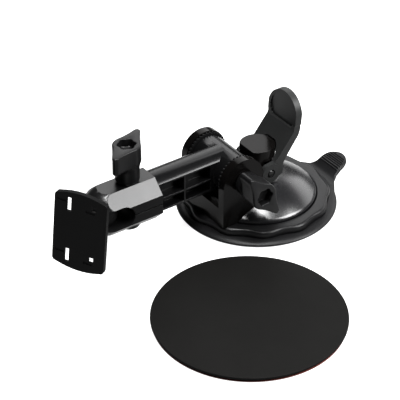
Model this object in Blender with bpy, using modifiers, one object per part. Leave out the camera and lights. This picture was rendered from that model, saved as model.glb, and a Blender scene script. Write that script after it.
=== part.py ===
"""Lever suction mount for a dash camera, with its loose round dashboard disc.

The origin is the centre of the suction pad's flat underside.  +Z is up, the
arm reaches towards -Y, and the pivot knob faces +X.  All driving sizes are in
millimetres and are turned into metres where a mesh or an object is placed.
"""
import math

import bmesh
import bpy
from mathutils import Matrix, Vector

MM = 0.001
GAP = 0.3

# suction base
LIP_R = 42.0
PAD_TOP = 3.0
DOME_R = 31.1
DOME_RIM_Z = 8.2
DOME_TOP_Z = 18.5
DOME_WALL = 2.2
CAP_R = 51.8
CAP_FLAT_R = 11.0
SKIRT_R = 37.6
SKIRT_WAVE = 0.8
SKIRT_LOBES = 12
SKIRT_TOP = 6.9
TAB_HALF_W = 8.0
TAB_ROUND_Y = 49.8

# lifting gear
TOWER_R = 9.2
TOWER_FLAT_Y = -7.2
TOWER_TOP = 35.6
STEM_R = 5.1
STEM_TOP = 29.9
PLATE_R = 21.0
PIN_Z = 23.6
PIN_R = 2.0
LEVER_HALF_W = 11.5
LOBE_R = 11.8
LOBE_Z = 49.2
FINGER_R = 9.8
BOSS_R = 5.7

# fork and pivot
PIVOT_Y = -22.2
PIVOT_Z = 31.3
BARREL_R = 10.4
BARREL_HALF = 12.6
RING_R = 11.4
EAR_R = 12.0
EAR_IN = 14.4
EAR_OUT = 18.6
FORK_FRONT_Y = -34.6
WEB_TOP_Z = 17.3
KNOB_END_X = 36.5

# arm and clamp, measured from the pivot along the arm
ARM_R = 10.8
ARM_HALF_W = 7.2
ARM_LEN = 44.0
JAW_START = 44.3
JAW_NOSE_R = 13.3
JAW_NOSE_S = 68.5
JAW_HALF = 12.2
JAW_FLAT = 5.2
NOTCH_HALF = 6.0
NOTCH_START = 60.5
BOLT_S = 57.0
BALL_S = 72.4
BALL_R = 8.0
KNOB_TOP_H = 33.3

# knobs
WING_SPAN = 15.2
WING_CORE = 7.2
WING_TIP = 1.7
WING_H = 9.5
NECK_R = 6.2
SOCKET_DEEP = 4.2
CLAMP_KNOB_TURN = 123.7
PIVOT_KNOB_TURN = 124.6

# bracket plate, in the frame of the ball
PLATE_YAW = 30.0
PLATE_TILT = 4.7
PLATE_ROLL = 2.7
PLATE_FRONT = 23.3
PLATE_T = 2.5
PLATE_W = 28.0
PLATE_H = 39.0
PLATE_BOW = 1.9
PLATE_FACE_T = 1.3
SLOT_X = 6.2
HOLE_X = 6.9
SLOT_W = 2.4
SLOT_H = 7.6
SLOT_TOPS = (18.1, -10.5)

# dashboard disc
DISC_R = 47.5
DISC_X = 78.0
DISC_Y = -62.0

PIVOT = Vector((0.0, PIVOT_Y, PIVOT_Z))
BALL = Vector((0.0, PIVOT_Y - BALL_S, PIVOT_Z))

# local x, y, z of an outline turned to world axes
YZ_PLANE = Matrix(((0, 0, 1, 0), (1, 0, 0, 0), (0, 1, 0, 0), (0, 0, 0, 1)))
XZ_PLANE = Matrix(((1, 0, 0, 0), (0, 0, -1, 0), (0, 1, 0, 0), (0, 0, 0, 1)))
XY_PLANE = Matrix.Identity(4)

LOOKS = {
    "rubber": ((0.045, 0.045, 0.046), 0.62, 0.0),
    "gloss": ((0.012, 0.012, 0.013), 0.12, 0.0),
    "satin": ((0.028, 0.028, 0.029), 0.42, 0.0),
    "matte": ((0.015, 0.015, 0.016), 0.6, 0.0),
    "steel": ((0.55, 0.55, 0.56), 0.32, 1.0),
    "liner": ((0.30, 0.12, 0.07), 0.55, 0.0),
}


def clear_scene():
    """Remove whatever the open file holds."""
    for obj in list(bpy.data.objects):
        bpy.data.objects.remove(obj, do_unlink=True)


def new_collection(name):
    """A collection linked to the scene."""
    coll = bpy.data.collections.new(name)
    bpy.context.scene.collection.children.link(coll)
    return coll


clear_scene()
PARTS = new_collection("dash_camera_mount")
CUTTERS = new_collection("cutters")


def link(obj, cutter):
    """Put an object with the parts, or with the hidden cutters."""
    if cutter:
        CUTTERS.objects.link(obj)
        obj.hide_render = True
        obj.display_type = "WIRE"
    else:
        PARTS.objects.link(obj)
    return obj


def from_bmesh(name, bm, cutter):
    """An object from a bmesh whose points are in millimetres."""
    bmesh.ops.scale(bm, vec=(MM, MM, MM), verts=bm.verts)
    mesh = bpy.data.meshes.new(name)
    bm.to_mesh(mesh)
    bm.free()
    return link(bpy.data.objects.new(name, mesh), cutter)


def box(name, x, y, z, cutter=False):
    """A box between the pairs x, y and z."""
    bm = bmesh.new()
    mid = Vector((sum(x) / 2, sum(y) / 2, sum(z) / 2))
    size = (x[1] - x[0], y[1] - y[0], z[1] - z[0])
    bmesh.ops.create_cube(bm, size=1.0)
    bmesh.ops.scale(bm, vec=size, verts=bm.verts)
    bmesh.ops.translate(bm, vec=mid, verts=bm.verts)
    return from_bmesh(name, bm, cutter)


def rod(name, r, start, end, seg=32, cutter=False, r_end=None, turn=0.0):
    """A cylinder or cone from start to end."""
    bm = bmesh.new()
    start = Vector(start)
    end = Vector(end)
    way = end - start
    spin = way.to_track_quat("Z", "Y").to_matrix().to_4x4()
    place = Matrix.Translation((start + end) / 2) @ spin @ Matrix.Rotation(turn, 4, "Z")
    far = r if r_end is None else r_end
    bmesh.ops.create_cone(bm, cap_ends=True, cap_tris=False, segments=seg,
                          radius1=r, radius2=far, depth=way.length, matrix=place)
    return from_bmesh(name, bm, cutter)


def ball(name, r, centre, seg=32, cutter=False):
    """A sphere."""
    bm = bmesh.new()
    bmesh.ops.create_uvsphere(bm, u_segments=seg, v_segments=seg // 2, radius=r,
                              matrix=Matrix.Translation(Vector(centre)))
    return from_bmesh(name, bm, cutter)


def turned(name, profile, place=None, steps=48, closed=False, cutter=False):
    """A profile of (radius, height) points, top to bottom outside, turned about Z."""
    bm = bmesh.new()
    verts = [bm.verts.new((r, 0.0, h)) for r, h in profile]
    for first, second in zip(verts, verts[1:]):
        bm.edges.new((first, second))
    if closed:
        bm.edges.new((verts[-1], verts[0]))
    obj = from_bmesh(name, bm, cutter)
    screw = obj.modifiers.new("turn", "SCREW")
    screw.axis = "Z"
    screw.angle = 2 * math.pi
    screw.steps = steps
    screw.render_steps = steps
    screw.use_merge_vertices = True
    screw.merge_threshold = 0.00001
    screw.use_smooth_shade = True
    if place is not None:
        obj.matrix_world = metres(place)
    return obj


def metres(matrix):
    """The same placement with its translation in metres."""
    out = matrix.copy()
    out.translation = matrix.translation * MM
    return out


def outline(name, loops, depth, plane, cutter=False, place=None):
    """Flat outlines filled and extruded over the pair depth, normal to a plane."""
    curve = bpy.data.curves.new(name, "CURVE")
    curve.dimensions = "2D"
    curve.fill_mode = "BOTH"
    curve.extrude = (depth[1] - depth[0]) / 2 * MM
    for loop in loops:
        spline = curve.splines.new("POLY")
        spline.points.add(len(loop) - 1)
        for point, (a, b) in zip(spline.points, loop):
            point.co = (a * MM, b * MM, 0.0, 1.0)
        spline.use_cyclic_u = True
    flat = bpy.data.objects.new(name + "_flat", curve)
    bpy.context.scene.collection.objects.link(flat)
    bpy.context.view_layer.update()
    graph = bpy.context.evaluated_depsgraph_get()
    mesh = bpy.data.meshes.new_from_object(flat.evaluated_get(graph))
    bpy.data.objects.remove(flat, do_unlink=True)
    mesh.name = name
    shift = Matrix.Translation((0.0, 0.0, (depth[0] + depth[1]) / 2 * MM))
    turn = plane @ shift
    if place is not None:
        turn = metres(place) @ turn
    bm = bmesh.new()
    bm.from_mesh(mesh)
    bmesh.ops.remove_doubles(bm, verts=bm.verts, dist=0.000001)
    bmesh.ops.recalc_face_normals(bm, faces=bm.faces)
    bmesh.ops.transform(bm, matrix=turn, verts=bm.verts)
    bm.to_mesh(mesh)
    bm.free()
    return link(bpy.data.objects.new(name, mesh), cutter)


def boolean(obj, other, how):
    """Add a Boolean modifier."""
    mod = obj.modifiers.new(how.lower(), "BOOLEAN")
    mod.operation = how
    mod.solver = "EXACT"
    mod.object = other
    return obj


def cut(obj, *others):
    """Cut every other solid out of an object."""
    for other in others:
        boolean(obj, other, "DIFFERENCE")
    return obj


def join(obj, *others):
    """Join the other solids to an object."""
    for other in others:
        boolean(obj, other, "UNION")
    return obj


def keep(obj, other):
    """Keep only what two solids share."""
    return boolean(obj, other, "INTERSECT")


def arc(cx, cy, r, start, end, count):
    """Points along an arc, angles in degrees."""
    out = []
    for i in range(count + 1):
        a = math.radians(start + (end - start) * i / count)
        out.append((cx + r * math.cos(a), cy + r * math.sin(a)))
    return out


def circle(r, count, cx=0.0, cy=0.0):
    """A closed circle of points."""
    return arc(cx, cy, r, 0.0, 360.0 * (count - 1) / count, count - 1)


def cap_z(r, drop=0.0):
    """Height of the dome's spherical cap at a radius."""
    return DOME_TOP_Z - (CAP_R - math.sqrt(CAP_R * CAP_R - r * r)) - drop


# ---------------------------------------------------------------- base


def make_pad():
    """The rubber cup, pressed flat as on glass, with the tab that peels it off."""
    profile = [(0.0, PAD_TOP), (37.5, PAD_TOP), (40.6, 2.5), (LIP_R, 1.2),
               (LIP_R, 0.7), (41.0, 0.0), (0.0, 0.0)]
    pad = turned("suction_pad", profile, steps=72)
    side = [(31.0, 0.12), (41.5, 0.12), (44.0, 0.6), (46.0, 1.5), (50.0, 3.9),
            (54.0, 5.5), (58.0, 6.1), (58.0, 7.3)]
    for i in range(7):
        t = i / 7
        y = 55.2 - 6.9 * t
        z = 6.0 + (y - 50.0) * (0.36 if y > 52.0 else 0.5)
        side += [(y, z + 0.1), (y - 0.25, z + 0.3), (y - 0.6, z + 0.1)]
    side += [(46.6, 3.5), (44.0, 2.3), (41.0, 1.9), (31.0, 1.9)]
    tab = outline("tab_block", [side], (-24.0, 24.0), YZ_PLANE, cutter=True)
    plan = [(-22.0, 32.0), (-19.5, 36.8), (-14.0, 40.9), (-10.3, 43.6), (-8.4, 46.4)]
    plan += arc(0.0, TAB_ROUND_Y, TAB_HALF_W, 180.0, 0.0, 20)
    plan += [(8.4, 46.4), (10.3, 43.6), (14.0, 40.9), (19.5, 36.8), (22.0, 32.0)]
    keep(tab, outline("tab_plan", [plan], (-1.0, 20.0), XY_PLANE, cutter=True))
    return join(pad, tab)


def make_dome():
    """The glossy cap: a thin shell with an open underside and a stem hole."""
    radii = [CAP_FLAT_R + (DOME_R - 0.5 - CAP_FLAT_R) * i / 6 for i in range(7)]
    outer = [(r, cap_z(r)) for r in radii]
    rim = [(DOME_R, 7.0), (DOME_R, PAD_TOP + GAP), (DOME_R - 2.3, PAD_TOP + GAP)]
    inner_r = [DOME_R - 2.3 - (DOME_R - 2.3 - 8.0) * i / 5 for i in range(6)]
    inner = [(r, cap_z(r, DOME_WALL)) for r in inner_r]
    flat = cap_z(CAP_FLAT_R)
    profile = [(5.7, flat)] + outer + rim + inner + [(5.7, flat - DOME_WALL)]
    dome = turned("base_dome", profile, steps=64, closed=True)
    for side in (-1, 1):
        hole = rod("dome_screw_hole_%d" % side, 1.7, (8.0 * side, -24.0, 4.0),
                   (8.0 * side, -24.0, 18.0), seg=16, cutter=True)
        cut(dome, hole)
    return dome


def make_skirt():
    """The wavy grip ring round the dome."""
    wave = []
    for i in range(96):
        a = 2 * math.pi * i / 96
        r = SKIRT_R + SKIRT_WAVE * math.cos(SKIRT_LOBES * a)
        wave.append((r * math.cos(a), r * math.sin(a)))
    bottom = PAD_TOP + GAP
    ring = outline("grip_skirt", [wave, circle(DOME_R + GAP, 64)], (bottom, SKIRT_TOP),
                   XY_PLANE)
    slope = [(0.0, SKIRT_TOP + 1.0), (35.6, SKIRT_TOP + 0.02), (37.2, SKIRT_TOP - 0.5),
             (38.2, SKIRT_TOP - 1.7), (39.2, bottom + 0.6), (39.2, 0.0), (0.0, 0.0)]
    return keep(ring, turned("skirt_slope", slope, steps=72, cutter=True))


def make_fork():
    """Two ears on legs, tied by a front wall and a floor that sits on the dome."""
    legs = []
    for side in (-1, 1):
        shape = arc(PIVOT_Y, PIVOT_Z, EAR_R, 185.0, -10.0, 22)
        shape += [(-11.6, 10.0), (-24.0, 5.0), (FORK_FRONT_Y, 5.0), (FORK_FRONT_Y, 29.0)]
        depth = (EAR_IN, EAR_OUT) if side > 0 else (-EAR_OUT, -EAR_IN)
        name = "fork_bracket" if side > 0 else "far_leg"
        legs.append(outline(name, [shape], depth, YZ_PLANE, cutter=side < 0))
    fork = legs[1]
    wall = [(FORK_FRONT_Y + 0.02, 5.0), (FORK_FRONT_Y + 0.02, WEB_TOP_Z),
            (-31.6, WEB_TOP_Z - 0.6), (-28.0, 14.6), (-17.5, 15.6), (-17.5, 5.0)]
    web = outline("fork_web", [wall], (-EAR_IN - 0.5, EAR_IN + 0.5), YZ_PLANE, cutter=True)
    join(fork, legs[0], web)
    radii = [31.4 * i / 7 for i in range(8)]
    seat = [(r, cap_z(r) + GAP + 0.02) for r in radii]
    seat += [(31.45, SKIRT_TOP + GAP), (60.0, SKIRT_TOP + GAP), (60.0, -1.0), (0.0, -1.0)]
    saddle = turned("dome_clearance", seat, steps=64, cutter=True)
    cut(fork, saddle)
    bore = rod("pivot_bore", 2.7, (-30.0, PIVOT_Y, PIVOT_Z), (30.0, PIVOT_Y, PIVOT_Z),
               seg=24, cutter=True)
    seat_far = rod("nut_seat", 5.0, (-25.0, PIVOT_Y, PIVOT_Z), (-15.2, PIVOT_Y, PIVOT_Z),
                   seg=6, cutter=True)
    cut(fork, bore, seat_far)
    for side in (-1, 1):
        hole = rod("fork_screw_hole_%d" % side, 1.7, (8.0 * side, -24.0, 4.0),
                   (8.0 * side, -24.0, 14.0), seg=16, cutter=True)
        cut(fork, hole)
    return fork


def make_tower():
    """The D-shaped guide that the lift stem rises in."""
    half = math.degrees(math.acos(TOWER_FLAT_Y / TOWER_R + 0.0))
    start = 90.0 - half
    shape = arc(0.0, 0.0, TOWER_R, start, 180.0 - start, 30)
    tower = outline("stem_tower", [shape], (cap_z(CAP_FLAT_R) + GAP, TOWER_TOP), XY_PLANE)
    bore = rod("tower_bore", STEM_R + 0.4, (0, 0, 10.0), (0, 0, 33.6), cutter=True)
    slot = box("pin_slot", (-12.0, 12.0), (-2.5, 2.5), (21.0, 29.4), cutter=True)
    return cut(tower, bore, slot)


def make_lifting_gear():
    """Stem, pressure plate, return spring and the pin that the lever turns on."""
    plate = turned("pressure_plate", [(0.0, 5.2), (PLATE_R - 0.6, 5.2), (PLATE_R, 4.7),
                                      (PLATE_R, 3.8), (PLATE_R - 0.5, PAD_TOP + GAP),
                                      (0.0, PAD_TOP + GAP)], steps=48)
    stem = rod("lift_stem", STEM_R, (0, 0, 5.5), (0, 0, STEM_TOP))
    hole = rod("stem_cross_hole", PIN_R + 0.3, (-9.0, 0, PIN_Z), (9.0, 0, PIN_Z),
               seg=20, cutter=True)
    cut(stem, hole)
    pin = rod("lever_pin", PIN_R, (-12.6, 0, PIN_Z), (12.6, 0, PIN_Z), seg=20)
    turns = 3.25
    points = []
    for i in range(int(turns * 12) + 1):
        a = 2 * math.pi * i / 12
        rise = 6.3 + (13.6 - 6.3) * i / (turns * 12)
        points.append((7.2 * math.cos(a), 7.2 * math.sin(a), rise))
    curve = bpy.data.curves.new("return_spring", "CURVE")
    curve.dimensions = "3D"
    curve.bevel_depth = 0.55 * MM
    curve.bevel_resolution = 1
    curve.use_fill_caps = True
    spline = curve.splines.new("POLY")
    spline.points.add(len(points) - 1)
    for point, co in zip(spline.points, points):
        point.co = (co[0] * MM, co[1] * MM, co[2] * MM, 1.0)
    spring = link(bpy.data.objects.new("return_spring", curve), False)
    return plate, stem, pin, spring


def strip(centre, half):
    """A closed outline at a distance on both sides of a line of points."""
    left = []
    right = []
    for i, (a, b) in enumerate(centre):
        p = centre[max(i - 1, 0)]
        q = centre[min(i + 1, len(centre) - 1)]
        dx = q[0] - p[0]
        dy = q[1] - p[1]
        size = math.hypot(dx, dy)
        left.append((a - dy / size * half, b + dx / size * half))
        right.append((a + dy / size * half, b - dx / size * half))
    return left + right[::-1]


def make_lever():
    """A thick bent blade, forked round the tower, with a round finger pad on top."""
    side = arc(0.0, PIN_Z, BOSS_R, 118.0, 300.0, 22)
    side += [(8.0, 20.9), (8.1, 26.9), (11.4, 31.9), (17.4, 40.2), (18.8, 44.2),
             (19.2, 49.0), (19.7, 55.0), (20.3, 61.6), (16.7, 61.6), (16.0, 55.0),
             (15.4, 50.0), (15.2, 46.0), (14.6, 43.0), (9.2, 36.4), (5.4, 31.8),
             (2.6, 29.2)]
    lever = outline("lock_lever", [side], (-LEVER_HALF_W, LEVER_HALF_W), YZ_PLANE)
    half = LEVER_HALF_W + 0.01
    face = [(-half, 15.0), (half, 15.0), (half, 42.6), (half - 0.3, 44.2)]
    face += arc(0.0, LOBE_Z, LOBE_R, -21.0, 201.0, 32)
    face += [(-half + 0.3, 44.2), (-half, 42.6)]
    keep(lever, outline("lever_front", [face], (-40.0, 10.0), XZ_PLANE, cutter=True))
    gap = rod("lever_gap", 9.65, (0, 0, 12.0), (0, 0, 36.2), seg=48, cutter=True)
    mouth = box("lever_mouth", (-9.64, 9.64), (-12.0, 0.5), (12.0, 36.2), cutter=True)
    swing = box("lever_swing_room", (-9.63, 9.63), (-13.0, 13.0), (12.5, 29.5), cutter=True)
    cut(lever, gap, mouth, swing)
    for way in (-1, 1):
        boss = rod("lever_boss_%d" % way, BOSS_R - 0.2, (10.0 * way, 0, PIN_Z),
                   (12.4 * way, 0, PIN_Z), seg=28, cutter=True)
        join(lever, boss)
    hole = rod("lever_pin_hole", PIN_R + 0.3, (-15, 0, PIN_Z), (15, 0, PIN_Z),
               seg=20, cutter=True)
    rim = []
    for i in range(57):
        a = math.radians(-35.0 + 250.0 * i / 56)
        r = FINGER_R + (0.3 if i % 3 == 0 else -0.15)
        rim.append((r * math.cos(a), LOBE_Z + 0.2 + r * math.sin(a)))
    pad = outline("lever_pad_recess", [rim], (-16.2, -10.0), XZ_PLANE, cutter=True)
    back = outline("lever_back_hollow", [[(-9.0, 38.5), (9.0, 38.5), (9.0, 47.0), (6.0, 55.5),
                                          (-6.0, 55.5), (-9.0, 47.0)]], (-25.0, -18.2),
                   XZ_PLANE, cutter=True)
    return cut(lever, hole, pad, back)


# ---------------------------------------------------------------- arm


def make_arm():
    """Pivot barrel and a round bar with cut sides, pocketed to a web and ribs."""
    arm = rod("arm", ARM_R, (0, PIVOT_Y, PIVOT_Z), (0, PIVOT_Y - ARM_LEN, PIVOT_Z), seg=40)
    slab = box("arm_slab", (-ARM_HALF_W, ARM_HALF_W), (-70.0, -10.0), (10.0, 50.0),
               cutter=True)
    keep(arm, slab)
    barrel = rod("arm_barrel", BARREL_R, (-BARREL_HALF, PIVOT_Y, PIVOT_Z),
                 (BARREL_HALF, PIVOT_Y, PIVOT_Z), seg=40, cutter=True)
    join(arm, barrel)
    bore = rod("arm_bore", 2.7, (-20, PIVOT_Y, PIVOT_Z), (20, PIVOT_Y, PIVOT_Z),
               seg=24, cutter=True)
    cut(arm, bore)
    for side in (-1, 1):
        for bay, (s0, s1) in enumerate(((12.2, 27.3), (28.3, 42.9))):
            for row, (h0, h1) in enumerate(((-7.1, -1.5), (-0.5, 7.1))):
                x = (1.6, 12.0) if side > 0 else (-12.0, -1.6)
                pocket = box("arm_pocket_%d_%d_%d" % (side, bay, row), x,
                             (PIVOT_Y - s1, PIVOT_Y - s0),
                             (PIVOT_Z + h0, PIVOT_Z + h1), cutter=True)
                cut(arm, pocket)
    return arm


def octagon(half, flat):
    """Corner points of the clamp's section."""
    return [(half, -flat), (half, flat), (flat, half), (-flat, half),
            (-half, flat), (-half, -flat), (-flat, -half), (flat, -half)]


def make_jaw(name, low, high):
    """One half of the octagonal clamp, with its ball seat and front notch."""
    section = [(a, PIVOT_Z + b) for a, b in octagon(JAW_HALF, JAW_FLAT)]
    nose_end = JAW_NOSE_S + JAW_NOSE_R
    jaw = outline(name, [section], (-PIVOT_Y + JAW_START, -PIVOT_Y + nose_end + 2.0),
                  XZ_PLANE)
    round_nose = [(r, JAW_NOSE_S + h) for h, r in arc(0.0, 0.0, JAW_NOSE_R, 0.0, 90.0, 12)]
    round_nose += [(JAW_NOSE_R, 40.0), (0.0, 40.0)]
    along = Matrix.Translation(PIVOT) @ Matrix.Rotation(math.radians(90.0), 4, "X")
    keep(jaw, turned(name + "_nose", round_nose, place=along, steps=48, cutter=True))
    slab = box(name + "_slab", (-20, 20), (-110, -60), (PIVOT_Z + low, PIVOT_Z + high),
               cutter=True)
    keep(jaw, slab)
    seat = ball(name + "_seat", BALL_R + GAP, BALL, seg=32, cutter=True)
    notch_y = PIVOT_Y - NOTCH_START
    notch = box(name + "_notch", (-20, 20), (-112, notch_y - 6.0),
                (PIVOT_Z - NOTCH_HALF, PIVOT_Z + NOTCH_HALF), cutter=True)
    root = rod(name + "_notch_root", NOTCH_HALF, (-20, notch_y - 6.0, PIVOT_Z),
               (20, notch_y - 6.0, PIVOT_Z), seg=32, cutter=True)
    join(notch, root)
    bolt_y = PIVOT_Y - BOLT_S
    hole = rod(name + "_hole", 2.7, (0, bolt_y, 5.0), (0, bolt_y, 60.0), seg=24,
               cutter=True)
    cut(jaw, notch, seat, hole)
    return jaw


def wing_outline():
    """Long diamond with round tips and slightly hollow flanks."""
    out = []
    for side in (0.0, 180.0):
        tip = WING_SPAN - WING_TIP
        tip_pts = arc(tip, 0.0, WING_TIP, -62.0, 62.0, 6)
        core = arc(0.0, 0.0, WING_CORE, 62.0, 118.0, 6)
        mid = (0.53 * WING_SPAN, 0.36 * WING_CORE + 0.55)
        pts = tip_pts + [mid] + core + [(-mid[0], mid[1])]
        a = math.radians(side)
        for x, y in pts:
            out.append((x * math.cos(a) - y * math.sin(a),
                        x * math.sin(a) + y * math.cos(a)))
    return out


def star_outline(r, depth):
    """Six-lobed socket outline."""
    out = []
    for i in range(36):
        a = 2 * math.pi * i / 36
        s = r - depth * (0.5 - 0.5 * math.cos(6 * a))
        out.append((s * math.cos(a), s * math.sin(a)))
    return out


def make_knob(name, height, place):
    """Wing knob whose neck starts at height 0 of its own frame."""
    low = height - WING_H
    wing = outline(name, [wing_outline()], (low, height), XY_PLANE, place=place)
    neck_pts = [(0.0, height - 1.0), (WING_CORE - 0.4, height - 1.0),
                (WING_CORE - 0.3, low), (NECK_R, low - 4.0), (NECK_R, 0.0), (0.0, 0.0)]
    neck = turned(name + "_neck", neck_pts, place=place, steps=36, cutter=True)
    join(wing, neck)
    socket = outline(name + "_socket", [star_outline(4.8, 1.1)],
                     (height - SOCKET_DEEP, height + 3.0), XY_PLANE, cutter=True,
                     place=place)
    bore = rod(name + "_bore", 2.6, place @ Vector((0, 0, -3.0)),
               place @ Vector((0, 0, height - 5.0)), seg=20, cutter=True)
    return cut(wing, socket, bore)


def make_clamp_group():
    """Knob, bolt, washer and nut that close the two jaws."""
    bolt_y = PIVOT_Y - BOLT_S
    base = PIVOT_Z + JAW_HALF + GAP + 0.8 + GAP
    turn = Matrix.Rotation(math.radians(CLAMP_KNOB_TURN), 4, "Z")
    place = Matrix.Translation((0, bolt_y, base)) @ turn
    knob = make_knob("clamp_knob", PIVOT_Z + KNOB_TOP_H - base, place)
    bolt = rod("clamp_bolt", 2.2, (0, bolt_y, PIVOT_Z - 11.2), (0, bolt_y, PIVOT_Z + 27.5),
               seg=20)
    washer = turned("clamp_washer", [(5.6, 0.8), (5.6, 0.0), (2.7, 0.0), (2.7, 0.8)],
                    place=Matrix.Translation((0, bolt_y, PIVOT_Z + JAW_HALF + GAP)),
                    steps=36, closed=True)
    nut = rod("clamp_nut", 4.5, (0, bolt_y, PIVOT_Z - 12.1), (0, bolt_y, PIVOT_Z - 9.0),
              seg=6)
    hole = rod("clamp_nut_bore", 2.5, (0, bolt_y, PIVOT_Z - 15), (0, bolt_y, PIVOT_Z),
               seg=20, cutter=True)
    cut(nut, hole)
    return knob, bolt, washer, nut


def make_pivot_group():
    """Knob, bolt, washer, nut and the two toothed friction rings of the pivot."""
    side = Matrix.Rotation(math.radians(90.0), 4, "Y")
    base = EAR_OUT + GAP + 0.8 + GAP
    spin = Matrix.Rotation(math.radians(180.0 - PIVOT_KNOB_TURN), 4, "X")
    flat = Matrix.Rotation(math.radians(90.0), 4, "Z")
    place = Matrix.Translation((base, PIVOT_Y, PIVOT_Z)) @ spin.inverted() @ side @ flat
    knob = make_knob("pivot_knob", KNOB_END_X - base, place)
    bolt = rod("pivot_bolt", 2.2, (-18.0, PIVOT_Y, PIVOT_Z), (30.5, PIVOT_Y, PIVOT_Z),
               seg=20)
    at_ear = Matrix.Translation((EAR_OUT + GAP, PIVOT_Y, PIVOT_Z)) @ side
    washer = turned("pivot_washer", [(5.6, 0.8), (5.6, 0.0), (2.7, 0.0), (2.7, 0.8)],
                    place=at_ear, steps=36, closed=True)
    nut = rod("pivot_nut", 4.5, (-18.3, PIVOT_Y, PIVOT_Z), (-15.5, PIVOT_Y, PIVOT_Z),
              seg=6)
    hole = rod("pivot_nut_bore", 2.5, (-25, PIVOT_Y, PIVOT_Z), (0, PIVOT_Y, PIVOT_Z),
               seg=20, cutter=True)
    cut(nut, hole)
    rings = []
    teeth = []
    for i in range(96):
        a = 2 * math.pi * i / 96
        r = RING_R + (0.35 if i % 4 in (0, 1) else -0.35)
        teeth.append((PIVOT_Y + r * math.cos(a), PIVOT_Z + r * math.sin(a)))
    hub = circle(3.0, 24, PIVOT_Y, PIVOT_Z)
    for name, depth in (("friction_ring_near", (BARREL_HALF + GAP, EAR_IN - GAP)),
                        ("friction_ring_far", (-EAR_IN + GAP, -BARREL_HALF - GAP))):
        rings.append(outline(name, [teeth, hub], depth, YZ_PLANE))
    return knob, bolt, washer, nut, rings


def make_fork_screws():
    """Two screws up through the dome into the fork's floor."""
    out = []
    for side, tag in ((-1, "far"), (1, "near")):
        x = 8.0 * side
        head = rod("fork_screw_" + tag, 2.5, (x, -24.0, 5.8), (x, -24.0, 7.8), seg=20)
        shank = rod("fork_screw_shank_" + tag, 1.4, (x, -24.0, 7.0), (x, -24.0, 13.6),
                    seg=16, cutter=True)
        out.append(join(head, shank))
    return out


# ---------------------------------------------------------------- plate


def plate_frame():
    """The bracket's frame: origin at the ball, -Y out of the clamp."""
    yaw = Matrix.Rotation(math.radians(PLATE_YAW), 4, "Z")
    tilt = Matrix.Rotation(math.radians(-PLATE_TILT), 4, "X")
    roll = Matrix.Rotation(math.radians(PLATE_ROLL), 4, "Y")
    return Matrix.Translation(BALL) @ yaw @ tilt @ roll


def plate_outline(inset=0.0):
    """Upright rectangle with bowed top and bottom edges and round corners."""
    half_w = PLATE_W / 2 - inset
    half_h = PLATE_H / 2 - inset
    out = []
    for sx, sy, start in ((1, 1, 0.0), (-1, 1, 90.0), (-1, -1, 180.0), (1, -1, 270.0)):
        out += arc(sx * (half_w - 2.0), sy * (half_h - 2.0), 2.0, start, start + 90.0, 4)
        if start in (0.0, 180.0):
            for i in range(1, 8):
                t = 1 - 2 * i / 8
                bow = PLATE_BOW * (1 - t * t)
                out.append((sx * t * (half_w - 2.0), sy * (half_h + bow)))
    return out


def window(x, top, width, height):
    """Square-cornered opening hung from its top edge."""
    return [(x - width / 2, top - height), (x + width / 2, top - height),
            (x + width / 2, top), (x - width / 2, top)]


def make_plate_group():
    """Ball, neck, hub, four-slot plate and its two screws."""
    frame = plate_frame()
    sphere = ball("pivot_ball", BALL_R, BALL, seg=32)
    neck = rod("ball_neck", 3.8, frame @ Vector((0, -6.0, 0)),
               frame @ Vector((0, -17.2, 0)), seg=28)
    clear = ball("neck_clearance", BALL_R + GAP, BALL, seg=32, cutter=True)
    cut(neck, clear)
    hub = rod("plate_hub", 8.0, frame @ Vector((0, -17.5, 0)),
              frame @ Vector((0, PLATE_FACE_T - PLATE_FRONT + GAP, 0)), seg=36)
    openings = []
    for top in SLOT_TOPS:
        openings.append(window(-SLOT_X, top, SLOT_W, SLOT_H))
        openings.append(window(HOLE_X, top - 1.3, 2.6, 2.9))
    plate = outline("bracket_plate", [plate_outline()] + openings,
                    (PLATE_FRONT - PLATE_T, PLATE_FRONT), XZ_PLANE, place=frame)
    cut(plate, outline("plate_back", [plate_outline(1.2)],
                       (PLATE_FRONT - PLATE_T - 1.0, PLATE_FRONT - PLATE_FACE_T),
                       XZ_PLANE, cutter=True, place=frame))
    for i, top in enumerate(SLOT_TOPS):
        for tag, x, drop in (("slot", -SLOT_X - 3.9, 1.7), ("hole", HOLE_X - 1.6, 4.6)):
            cut(plate, outline("plate_groove_%s_%d" % (tag, i),
                               [window(x, top - drop, 4.8, 1.3)],
                               (PLATE_FRONT - 0.4, PLATE_FRONT + 2.0), XZ_PLANE,
                               cutter=True, place=frame))
    screws = []
    for side, tag in ((-1, "a"), (1, "b")):
        x = 5.6 * side
        head = rod("plate_screw_" + tag, 1.5, frame @ Vector((x, -16.0, 0)),
                   frame @ Vector((x, -17.2, 0)), seg=16)
        shank = rod("plate_screw_shank_" + tag, 0.9, frame @ Vector((x, -16.5, 0)),
                    frame @ Vector((x, -22.0, 0)), seg=12, cutter=True)
        hole = rod("plate_screw_hole_" + tag, 1.2, frame @ Vector((x, -15.0, 0)),
                   frame @ Vector((x, -22.4, 0)), seg=12, cutter=True)
        cut(hub, hole)
        cut(plate, hole)
        screws.append(join(head, shank))
    return sphere, neck, hub, plate, screws


def make_disc():
    """The loose dashboard disc: plastic face, adhesive and paper liner."""
    place = Matrix.Translation((DISC_X, DISC_Y, 0.0))
    disc = turned("dash_disc", [(0, 2.7), (DISC_R - 0.5, 2.7), (DISC_R, 2.3),
                                (DISC_R, 1.5), (0, 1.5)], place=place, steps=72)
    glue = turned("adhesive_pad", [(0, 1.2), (DISC_R - 1.0, 1.2), (DISC_R - 1.0, 0.7),
                                   (0, 0.7)], place=place, steps=72)
    liner = turned("release_liner", [(0, 0.4), (DISC_R - 0.6, 0.4), (DISC_R - 0.6, 0.0),
                                     (0, 0.0)], place=place, steps=72)
    return disc, glue, liner


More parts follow.
